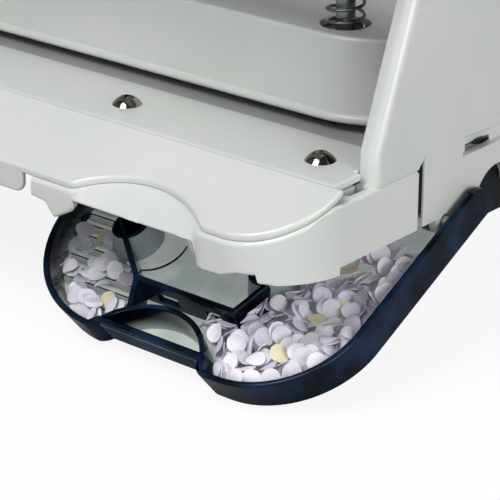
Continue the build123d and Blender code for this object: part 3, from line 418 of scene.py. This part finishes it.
def plastic_of(middle, facing):
    """Which of its plastics a tray's face shows, from the face's middle and direction in the drawing."""
    from_pocket = middle.xy - Vector((0, POCKET_MIDDLE))
    in_pocket = from_pocket.length < POCKET_R + 0.2 and middle.y > GRIP_BACK
    on_rib = middle.x < -40 and middle.z > TRAY_FLOOR + 0.5
    from_cup = min(math.hypot(middle.x - u, middle.y - CUP_BACK) for u in CUPS)
    on_cup = CUP_TOP_R - 0.3 < from_cup < CUP_FOOT_R + 0.2
    on_end_wall = middle.x < -45 and middle.y > -36 and 1 < middle.z < 10
    if middle.x < INNER_SIDE and math.hypot(middle.y - NUB_BACK, middle.z - NUB_UP) < NUB_R:
        return WALL
    if facing.z > 0.9 and middle.z < TRAY_FLOOR + 1.0:
        return POCKET if in_pocket or on_rib else CLEAR_FLOOR
    if facing.z < -0.9 and middle.z < 0.1:
        return CLEAR_FLOOR
    if on_cup and middle.z < 9.8 and 0.1 < facing.z < 0.6:
        return CUP
    if on_end_wall and facing.x > 0.3:
        return CLEAR_FLOOR
    # The upper faces of the grip's ribs carry the painted highlight
    if in_grip(middle) and 0.5 < middle.z < TRAY_RIM - 0.6 and facing.z > 0.15 and facing.y < -0.2:
        return RIB_HIGHLIGHT
    if in_pocket and middle.y > GRIP_BACK + 2.2 and facing.xy.dot(from_pocket) < -0.3:
        return POCKET
    return WALL


def finish_tray(side, to_drawing):
    """A tray with its lip and corners rounded, and its floor and cups paler than its walls: the floor partly
    clear, and both painted light where light shows through thin plastic.
    """
    tray = copy_of("chip_tray_" + side)
    turned = to_drawing.to_3x3()
    upwards = (turned.inverted() @ Vector((0, 0, 1))).normalized()

    def here(point):
        """A point of the tray in its drawing's millimetres."""
        return (to_drawing @ point) / MM

    def round_where(radius, chosen, steps, sharp=35.0, along=None):
        """Rounds the tray's edges whose ends, in the drawing's millimetres, are chosen."""
        round_edges(tray, radius, lambda point: chosen(here(point)), steps, sharp, along)

    def on_grip_rib(spot):
        face_back = GRIP_BACK + (TRAY_RIM - spot.z) * TRAY_TAPER / TRAY_RIM
        return in_grip(spot) and spot.z < TRAY_RIM - 1 and spot.y < face_back - 0.3

    def on_bottom(spot):
        off_pads = all((spot.xy - pad).length > PAD_RECESS_R for pad in PADS)
        return spot.z < 0.05 and off_pads and spot.y < ARMS_BACK and not in_grip(spot)

    def at_lobe(spot):
        return abs(abs(spot.x) - LOBE_CORNER) < 0.3 and spot.y < GRIP_BACK + 0.5

    round_where(0.38, on_grip_rib, 4)
    round_where(2.8, at_lobe, 6, 30, upwards)
    round_where(0.85, lambda spot: spot.z > TRAY_RIM - 0.05 and not in_grip(spot), 4)
    round_where(0.3, lambda spot: spot.z > TRAY_RIM - 0.05 and in_grip(spot), 3)
    round_where(1.9, on_bottom, 4, 60)
    round_where(0.5, lambda spot: INNER_WALL_TOP[0] < spot.z < INNER_WALL_TOP[1], 2)
    smooth(tray)
    tray.data.materials.clear()
    for plastic in [navy, *tray_styrenes(side, to_drawing)]:
        tray.data.materials.append(plastic)
    for face in tray.data.polygons:
        face.material_index = plastic_of(here(face.center), (turned @ face.normal).normalized())


finish_tray("right", from_right_tray)
finish_tray("left", from_left_tray)

# Places on the other pieces, in the drawing's millimetres
TABLE_TOP, FRONT = 30.5, -35.4
ARCH_HALF, ARCH_DEPTH, ARCH_END_R = 23.1, 8.0, 5.0
ARCH_EDGE_UP = 14.2                 # the straight lower edge of the finger arch
CLEAR_OF_TRAY = 12.0                # over this a skirt is clear of the shut tray's wall
CHEEK_INSIDE, CHEEK_OUTSIDE = 150.0, 155.6
SLOT_LOW, SLOT_HIGH = Vector((CHEEK_INSIDE - 1, 21.2, 11.5)), Vector((CHEEK_OUTSIDE - 0.9, 25.2, 28.6))
SCREW_STEP = 35.3                   # from the middle of a base unit to each of its screws
RECESS_UP, RECESS_LONG, RECESS_WIDE, RECESS_DEEP = 2.7, 4.6, 0.95, 2.2
screw_spots = [Vector((hand * (TRAY_MIDDLE + step), 0)) for hand in (-1, 1)
               for step in (-SCREW_STEP, SCREW_STEP)]


def drawn(point):
    """A point of the scene in the drawing's millimetres, measured as in the tray but from the middle."""
    spot = drawing.inverted() @ point
    return Vector((spot.x / MM + TRAY_MIDDLE, spot.y / MM, spot.z / MM))


def off_screws(point):
    """True away from the screw holes in the table."""
    return all((drawn(point).xy - screw).length > 5 for screw in screw_spots)


def on_seam(point):
    """True on the upper edge of a base unit's skirt, in front and at the side."""
    spot = drawn(point)
    return spot.z > 15.5 and spot.y < 19.5 and (spot.y < -21.5 or abs(spot.x) > CHEEK_OUTSIDE - 0.6)


def on_front_lip(point):
    """True on the lower front edge of a base unit."""
    spot = drawn(point)
    return spot.z < ARCH_EDGE_UP + 0.1 and spot.y < FRONT + 4.4


def on_outer_side(point):
    """True on the outer side of a cheek cover."""
    return abs(drawn(point).x) > CHEEK_OUTSIDE - 0.05


def on_front_rim(point):
    """True on the inner side of a cheek cover's rim, beside the table and above it."""
    spot = drawn(point)
    return abs(spot.x) < CHEEK_INSIDE + 0.05 and spot.y < 40 and spot.z > TABLE_TOP - 4


def scoop_arch(unit):
    """Brings the lower edge of the finger arch out to the front, so that the arch is a sloping scoop."""
    arch_r = (ARCH_HALF ** 2 + ARCH_DEPTH ** 2) / (2 * ARCH_DEPTH)
    end_up = arch_r - ARCH_DEPTH + ARCH_END_R
    end_u = math.sqrt((arch_r + ARCH_END_R) ** 2 - end_up ** 2)
    edit(unit)
    bpy.ops.mesh.select_all(action="SELECT")
    cut = drawing @ Vector((0, 0, (ARCH_EDGE_UP + 0.4) * MM))
    bpy.ops.mesh.bisect(plane_co=cut, plane_no=(0, 0, 1))
    shape = bmesh.from_edit_mesh(unit.data)
    for corner in shape.verts:
        spot = drawn(corner.co)
        u = abs(abs(spot.x) - TRAY_MIDDLE)
        over_tray_wall = abs(spot.x) > TRAY_MIDDLE and spot.z < CLEAR_OF_TRAY
        low_part = spot.z < ARCH_EDGE_UP + 0.5 and not over_tray_wall
        if u < end_u and spot.y < FRONT + ARCH_DEPTH + 4.5 and low_part:
            if u < end_u * arch_r / (arch_r + ARCH_END_R):
                corner.co.y -= (math.sqrt(arch_r ** 2 - u ** 2) - arch_r + ARCH_DEPTH) * MM
            else:
                corner.co.y -= (ARCH_END_R - math.sqrt(ARCH_END_R ** 2 - (end_u - u) ** 2)) * MM
            if 12.5 < spot.z < ARCH_EDGE_UP + 0.39:
                corner.co.z += (ARCH_EDGE_UP - spot.z) * MM
    bmesh.update_edit_mesh(unit.data)
    bpy.ops.object.mode_set(mode="OBJECT")


def thin_at_slot(cheek, hand):
    """Hollows a cheek cover behind its slot, so that the slot opens on the dark behind it."""
    middle = (SLOT_LOW + SLOT_HIGH) / 2
    place = Vector((hand * middle.x - TRAY_MIDDLE, middle.y, middle.z))
    size = (SLOT_HIGH - SLOT_LOW) * MM
    bpy.ops.mesh.primitive_cube_add(size=1.0, location=drawing @ (place * MM), scale=size)
    cut_out(cheek, bpy.context.object)


def slim_pull(pull):
    """Makes the pull the narrow lens that shows in the recess."""
    middle = sum((Vector(corner) for corner in pull.bound_box), Vector()) / 8
    edit(pull)
    bpy.ops.mesh.select_all(action="SELECT")
    bpy.ops.transform.resize(value=(1.0, 0.75, 0.42), center_override=middle)
    bpy.ops.object.mode_set(mode="OBJECT")


def dome_heads(screws):
    """Makes the screw heads taller above the table by two fifths."""
    edit(screws)
    bpy.ops.mesh.select_all(action="DESELECT")
    shape = bmesh.from_edit_mesh(screws.data)
    for corner in shape.verts:
        if drawn(corner.co).z > TABLE_TOP + 0.05:
            corner.co.z += (drawn(corner.co).z - TABLE_TOP) * 0.4 * MM
    bmesh.update_edit_mesh(screws.data)
    bpy.ops.object.mode_set(mode="OBJECT")


def cross_recess(screws):
    """Cuts a cross recess into each domed screw head, each screw turned to where it came tight."""
    size = (RECESS_LONG * MM, RECESS_WIDE * MM, RECESS_DEEP * MM)
    for count, spot in enumerate(screw_spots):
        middle = drawing @ Vector(((spot.x - TRAY_MIDDLE) * MM, 0, (TABLE_TOP + RECESS_UP) * MM))
        cutters = []
        for half_turn in (0, math.pi / 2):
            turn = 0.5 + 0.7 * count + half_turn
            bpy.ops.mesh.primitive_cube_add(size=1.0, location=middle, scale=size, rotation=(0, 0, turn))
            cutters.append(bpy.context.object)
        for cutter in cutters:
            cut_out(screws, cutter)


table = copy_of("paper_table")
round_edges(table, 0.75, off_screws, 4, 40)
smooth(table)
for side, hand in (("right", 1), ("left", -1)):
    unit = copy_of("base_unit_" + side)
    scoop_arch(unit)
    round_edges(unit, 0.9, on_seam, 3, 50)
    round_edges(unit, 0.8, on_front_lip, 3, 50)
    smooth(unit)
    cheek = copy_of("cheek_cover_" + side)
    thin_at_slot(cheek, hand)
    round_edges(cheek, 0.5, on_outer_side, 3, 50)
    round_edges(cheek, 0.7, on_front_rim, 3, 50)
    smooth(cheek)
smooth(copy_of("head_cover"))

# The radius, in millimetres, of all the sharp edges of a piece
plain_edges = {
    "lever_hood": 0.8, "lever_arm_right": 0.4, "lever_arm_left": 0.4, "handle_grip": 1.6, "rear_cover": 0.4,
    "rear_foot_right": 0.8, "rear_foot_left": 0.8, "punch_beam": 0.3, "rail_pull": 0.3,
    "paper_stop_rail": 0.15, "paper_back_stop": 0.3, "press_bar": 0.4, "handle_core": 0.4,
    "lever_shaft": 0.5, "guide_bridge": 0.25, "die_bed": 0.2,
}
for name, radius in plain_edges.items():
    piece = copy_of(name)
    if name == "rail_pull":
        slim_pull(piece)
    round_edges(piece, radius, lambda point: True, 3, 50)
    smooth(piece)
for count in range(1, 5):
    smooth(copy_of(f"punch_spring_{count}"), 80)
screws = copy_of("table_screws")
dome_heads(screws)
cross_recess(screws)
smooth(screws, 30)

# Chips, in millimetres, and the grid on which their heap grows
CHIP_R, CHIP_THICK = 2.75, 0.12
CHIP_RISE = 0.22                    # height that a chip adds to what it lies on
CREASES = (-1.8, -0.9, 0.0, 0.9, 1.8)
CELL, REACH = 0.4, 7                # pitch of the grid, and cells from a chip's middle to its rim
GRID, GRID_LEFT, GRID_FRONT = (310, 180), -64, -48
DROP_ACROSS, DROP_BACK = (-58, 56), (-41, 20)
OUTER_CORNER, OUTER_CORNER_R = (28.1, -12.9), 25.4
INNER_CORNER, INNER_CORNER_R = (-20.2, -0.2), 35.8
WALL_BEHIND, WALL_AHEAD = 1.222, 0.55    # slants of the inner bay's wall from the partition's end


def chip_shape(bend):
    """One paper chip, punched 5.5 mm across and curled by the punch."""
    bpy.ops.mesh.primitive_circle_add(vertices=20, radius=CHIP_R * MM, fill_type="NGON")
    chip = bpy.context.object
    edit(chip)
    for x in CREASES:
        bpy.ops.mesh.select_all(action="SELECT")
        bpy.ops.mesh.bisect(plane_co=(x * MM, 0, 0), plane_no=(1, 0, 0))
    bpy.ops.mesh.select_all(action="SELECT")
    bpy.ops.transform.rotate(value=math.pi / 2, orient_axis="X", center_override=(0, 0, 0))
    bpy.ops.object.mode_set(mode="OBJECT")
    curl = chip.modifiers.new("curl", "SIMPLE_DEFORM")
    curl.deform_method = "BEND"
    curl.deform_axis = "Z"
    curl.angle = math.radians(bend)
    sheet = chip.modifiers.new("sheet", "SOLIDIFY")
    sheet.thickness = CHIP_THICK * MM
    sheet.offset = 0.0
    bpy.ops.object.modifier_apply(modifier=curl.name)
    bpy.ops.object.modifier_apply(modifier=sheet.name)
    bpy.ops.object.shade_smooth_by_angle(angle=math.radians(50))
    edit(chip)
    bpy.ops.mesh.select_all(action="SELECT")
    bpy.ops.transform.rotate(value=-math.pi / 2, orient_axis="X", center_override=(0, 0, 0))
    bpy.ops.object.mode_set(mode="OBJECT")
    shape = chip.data
    low, high = (pick(corner.co.z for corner in shape.vertices) for pick in (min, max))
    shape.transform(Matrix.Translation((0, 0, -(low + high) / 2)))
    bpy.data.objects.remove(chip)
    return shape


def in_outer_bay(u, y):
    """True where chips lie in the tray's outer bay."""
    past_corner = math.hypot(max(u - OUTER_CORNER[0], 0), min(y - OUTER_CORNER[1], 0)) < OUTER_CORNER_R
    clear_of_pocket = math.hypot(u, y - POCKET_MIDDLE) > POCKET_R + 5.0
    clear_of_cup = math.hypot(u - CUPS[1], y - CUP_BACK) > CUP_FOOT_R + 2.4
    before_wall = y < PARTITION_BACK - 3.5 or u > PARTITION_ENDS[1] + 4
    return u > 6 and past_corner and clear_of_pocket and clear_of_cup and before_wall and y < 20


def in_inner_bay(u, y):
    """True where chips lie in the tray's inner bay, on the ribs."""
    past_corner = math.hypot(min(u - INNER_CORNER[0], 0), min(y - INNER_CORNER[1], 0)) < INNER_CORNER_R
    behind, ahead = max(0.0, y - PARTITION_BACK), max(0.0, PARTITION_BACK - y)
    wall = PARTITION_ENDS[0] - WALL_BEHIND * behind + WALL_AHEAD * ahead
    return u < wall - (5.0 if y > PARTITION_BACK else 3.6) and past_corner and -34 < y < -6


def outer_fill(u, y):
    """How high the chips lie in the outer bay: nearly to the lip in front, thinning out to the back."""
    return TRAY_FLOOR + 7.6 - 0.05 * max(0.0, y + 24) - 0.06 * max(0.0, 30 - u) * (y > -24)


def inner_fill(u, y):
    """How high the chips lie in the inner bay: one or two deep."""
    return TRAY_FLOOR + 3.6


def floor_heights():
    """The height of the bare floor and its ribs on the grid."""
    height = np.full(GRID, TRAY_FLOOR)
    across, back = (np.arange(size) * CELL + start for size, start in zip(GRID, (GRID_LEFT, GRID_FRONT)))
    at_u, at_y = np.meshgrid(across, back, indexing="ij")
    among_ribs = at_u < RIB_END + RIB_SLANT * np.maximum(CUP_BACK - at_y, 0)
    height[among_ribs & ((at_y - FLOOR_RIBS) % RIB_PITCH < RIB_WIDTH)] += RIB_HEIGHT
    return height


def pour(seed, count, bay, fill, lean, lift):
    """Drops chips one by one: each lies down on what is below it, leaning a little at random.

    A chip that would come to lie over the fill or over the tray's rim is left out.
    """
    chance = np.random.default_rng(seed)
    height = floor_heights()
    step = np.arange(-REACH, REACH + 1) * CELL
    reach_u, reach_y = np.meshgrid(step, step, indexing="ij")
    disc = reach_u ** 2 + reach_y ** 2 < CHIP_R ** 2
    spread = (reach_u ** 2)[disc].sum()
    lying = []
    for _ in range(count):
        u, y = chance.uniform(*DROP_ACROSS), chance.uniform(*DROP_BACK)
        if not bay(u, y):
            continue
        i, j = round((u - GRID_LEFT) / CELL), round((y - GRID_FRONT) / CELL)
        below = height[i - REACH:i + REACH + 1, j - REACH:j + REACH + 1]
        slopes = [(below * way)[disc].sum() / spread + chance.normal(0, lean) for way in (reach_u, reach_y)]
        slope_u, slope_y = (min(max(slope, -1.0), 1.0) for slope in slopes)
        steep = math.hypot(slope_u, slope_y)
        leaning = slope_u * reach_u + slope_y * reach_y
        under = reach_u ** 2 + reach_y ** 2 + leaning ** 2 < CHIP_R ** 2
        z = (below - leaning)[under].max() + lift
        if z > fill(u, y) or z + CHIP_R * steep / math.hypot(1, steep) > TRAY_RIM - 0.2:
            continue
        below[under] = np.maximum(below, z + leaning + CHIP_RISE)[under]
        lying.append((u, y, z, slope_u, slope_y, chance.uniform(0, 2 * math.pi)))
    return lying


def heap_of_chips(name, lying, shapes, seed):
    """Chips at these places as one piece that rides on the right tray."""
    chance = np.random.default_rng(seed)
    heap = bmesh.new()
    for u, y, z, slope_u, slope_y, spin in lying:
        facing = Vector((-slope_u, -slope_y, 1)).normalized().to_track_quat("Z", "Y").to_matrix().to_4x4()
        flip = Matrix.Rotation(math.pi * float(chance.integers(2)), 4, "X")
        shape = shapes[int(chance.integers(len(shapes)))].copy()
        shade = int(chance.choice(len(papers), p=(0.72, 0.25, 0.03)))
        shape.transform(facing @ Matrix.Rotation(spin, 4, "Z") @ flip)
        shape.transform(tray_place @ Matrix.Translation((u * MM, y * MM, z * MM)))
        shape.polygons.foreach_set("material_index", [shade] * len(shape.polygons))
        heap.from_mesh(shape)
        bpy.data.meshes.remove(shape)
    mesh = bpy.data.meshes.new(name)
    heap.to_mesh(mesh)
    heap.free()
    for paper in papers:
        mesh.materials.append(paper)
    piece = bpy.data.objects.new(name, mesh)
    bpy.context.scene.collection.objects.link(piece)
    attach(piece, "tray_right")


chips = [chip_shape(bend) for bend in (15, 40, 65, 95)]
heap_of_chips("chips_outer_bay", pour(11, 30000, in_outer_bay, outer_fill, 0.32, 0.12), chips, 5)
heap_of_chips("chips_inner_bay", pour(29, 1400, in_inner_bay, inner_fill, 0.3, 0.45), chips, 6)


def paper_sweep():
    """The floor: white seamless paper, bright where the camera sees it and dim in what it throws back."""
    made, tree, out, place = new_material("white_paper_floor")
    seen = add(tree, "ShaderNodeLightPath", {})
    wash = add(tree, "ShaderNodeBsdfDiffuse", {"Color": srgb("#F2F2F2"), "Roughness": 0.5})
    glow = add(tree, "ShaderNodeEmission", {"Color": srgb("#FFFFFF"), "Strength": 1.0})
    lit = add(tree, "ShaderNodeMixShader", {0: 0.88, 1: wash.outputs["BSDF"], 2: glow.outputs["Emission"]})
    looked_at = add(tree, "ShaderNodeMath", {0: seen.outputs["Is Camera Ray"],
                                             1: seen.outputs["Is Transmission Ray"]}, operation="MAXIMUM")
    dim = add(tree, "ShaderNodeBsdfDiffuse", {"Color": srgb("#A6A8A8"), "Roughness": 0.5})
    both = add(tree, "ShaderNodeMixShader", {0: looked_at.outputs[0], 1: dim.outputs["BSDF"],
                                             2: lit.outputs["Shader"]})
    tree.links.new(both.outputs["Shader"], out.inputs["Surface"])
    return made


def soft_daylight():
    """A dome that is brighter near the horizon, and plain white where the camera sees it."""
    world = bpy.data.worlds.new("soft_daylight")
    world.use_nodes = True
    sky = world.node_tree
    sky.nodes.clear()
    seen = add(sky, "ShaderNodeLightPath", {})
    way = add(sky, "ShaderNodeTexCoord", {})
    height = add(sky, "ShaderNodeSeparateXYZ", {"Vector": way.outputs["Generated"]})
    dome = add(sky, "ShaderNodeMapRange", {"Value": height.outputs["Z"], "From Min": 0.0, "From Max": 0.8,
                                           "To Min": 0.38, "To Max": 0.04})
    soft = add(sky, "ShaderNodeBackground", {"Color": srgb("#F4F6F8"), "Strength": dome.outputs["Result"]})
    white = add(sky, "ShaderNodeBackground", {"Color": srgb("#FFFFFF"), "Strength": 1.0})
    both = add(sky, "ShaderNodeMixShader", {0: seen.outputs["Is Camera Ray"], 1: soft.outputs["Background"],
                                            2: white.outputs["Background"]})
    add(sky, "ShaderNodeOutputWorld", {"Surface": both.outputs["Shader"]})
    return world


def soft_box(name, place, aim, size, power):
    """A square studio lamp that faces a point."""
    lamp = bpy.data.lights.new(name, "AREA")
    lamp.size = size
    lamp.energy = power
    holder = bpy.data.objects.new(name, lamp)
    bpy.context.scene.collection.objects.link(holder)
    holder.location = place
    holder.rotation_euler = (Vector(aim) - Vector(place)).to_track_quat("-Z", "Y").to_euler()


# The studio: one pale floor, four soft lamps and the photo's camera
low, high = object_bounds()
bpy.ops.mesh.primitive_plane_add(size=6.0, location=(0, 0, low.z - 0.3 * MM))
floor = bpy.context.object
floor.name = "studio_floor"
floor.data.materials.append(paper_sweep())
bpy.context.scene.world = soft_daylight()

# The photographed corner of the machine, in metres
photographed_corner = Vector((0.10, -0.03, 0.05))
soft_box("key_lamp", (0.02, -0.62, 0.90), photographed_corner, 0.5, 8.2)
soft_box("side_lamp", (1.05, -0.25, 0.35), photographed_corner, 0.6, 5.8)
soft_box("fill_lamp", (0.60, -0.90, 0.60), photographed_corner, 0.4, 0.9)
soft_box("back_lamp", (-0.45, 0.95, 0.85), photographed_corner, 0.6, 4.5)

# The camera, fitted to the edges of the machine in the photograph
eye = bpy.data.cameras.new("photo_camera")
eye.sensor_width = 36.0
eye.lens = 154.8
eye.clip_start = 0.01
eye.clip_end = 20.0
camera = bpy.data.objects.new("photo_camera", eye)
bpy.context.scene.collection.objects.link(camera)
camera.location = (0.4706, -0.43721, 0.2614)
camera.rotation_euler = Euler((math.radians(90 - 22.8), 0, math.radians(40.5)))
bpy.context.scene.camera = camera
bpy.context.scene.view_settings.view_transform = "Standard"
